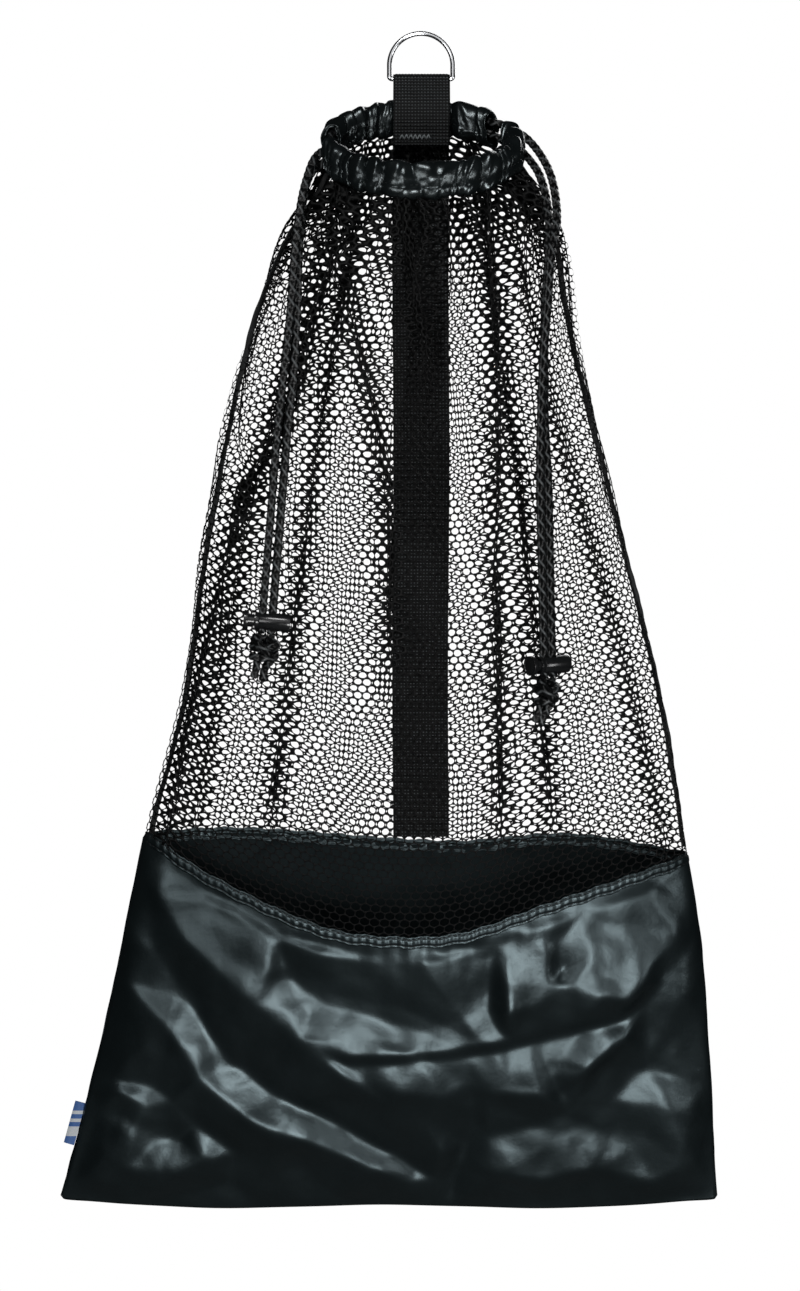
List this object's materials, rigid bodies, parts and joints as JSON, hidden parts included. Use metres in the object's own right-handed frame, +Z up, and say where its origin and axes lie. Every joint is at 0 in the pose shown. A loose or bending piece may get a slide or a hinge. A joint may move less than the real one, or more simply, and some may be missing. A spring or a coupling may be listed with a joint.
{
  "type": "mesh laundry bag",
  "caption": "Hanging mesh laundry bag with an opaque nylon base, a gathered drawcord mouth with cord locks, and a webbing hanger with a D-ring.",
  "frame": {"origin": "hook point: the inner top of the D-ring, where the bag hangs", "axes": "+Z up, front of the bag towards -Y, +X to the viewer's right"},
  "size_m": [0.4445, 0.1565, 0.7857],
  "materials": {
    "chrome": "polished",
    "webbing": "matte ribbed weave",
    "casing_nylon": "satin, gathered",
    "net": "matte knitted net",
    "base_nylon": "satin",
    "cord": "matte braid",
    "lock_plastic": "gloss",
    "spring_steel": "bright",
    "label_cloth": "woven"
  },
  "bodies": {
    "ring": {"d_ring": "chrome"},
    "bag": {"strap_webbing": "webbing", "front_casing": "casing_nylon", "back_casing": "casing_nylon", "front_mesh": "net", "back_mesh": "net", "front_base_panel": "base_nylon", "back_base_panel": "base_nylon", "front_base_hem": "base_nylon", "back_base_hem": "base_nylon", "side_label": "label_cloth", "left_cord_channel_run": "cord", "left_cord_front_strand": "cord", "left_cord_back_strand": "cord", "left_cord_knot": "cord", "right_cord_channel_run": "cord", "right_cord_front_strand": "cord", "right_cord_back_strand": "cord", "right_cord_knot": "cord"},
    "left_lock": {"left_lock_barrel": "lock_plastic", "left_lock_spring": "spring_steel"},
    "left_button": {"left_lock_button": "lock_plastic"},
    "right_lock": {"right_lock_barrel": "lock_plastic", "right_lock_spring": "spring_steel"},
    "right_button": {"right_lock_button": "lock_plastic"}
  },
  "joints": [
    {"name": "bag_swing", "type": "hinge", "parent": "ring", "child": "bag", "pos_m": [0, 0, -0.0284], "axis": [1, 0, 0], "range_deg": [-60, 60]},
    {"name": "left_lock_slide", "type": "slide", "parent": "bag", "child": "left_lock", "axis": [0.0844, -0.1021, 0.9912], "range_m": [0, 0.11]},
    {"name": "left_button_press", "type": "slide", "parent": "left_lock", "child": "left_button", "axis": [0.9964, 0.0086, -0.084], "range_m": [0, 0.0038], "stiffness_N_per_m": 60, "springref_m": -0.001, "deforming": ["left_lock_spring"]},
    {"name": "right_lock_slide", "type": "slide", "parent": "bag", "child": "right_lock", "axis": [-0.0227, -0.0592, 0.998], "range_m": [0, 0.095]},
    {"name": "right_button_press", "type": "slide", "parent": "right_lock", "child": "right_button", "axis": [0.8191, 0.5713, 0.0525], "range_m": [0, 0.0038], "stiffness_N_per_m": 60, "springref_m": -0.001, "deforming": ["right_lock_spring"]}
  ]
}
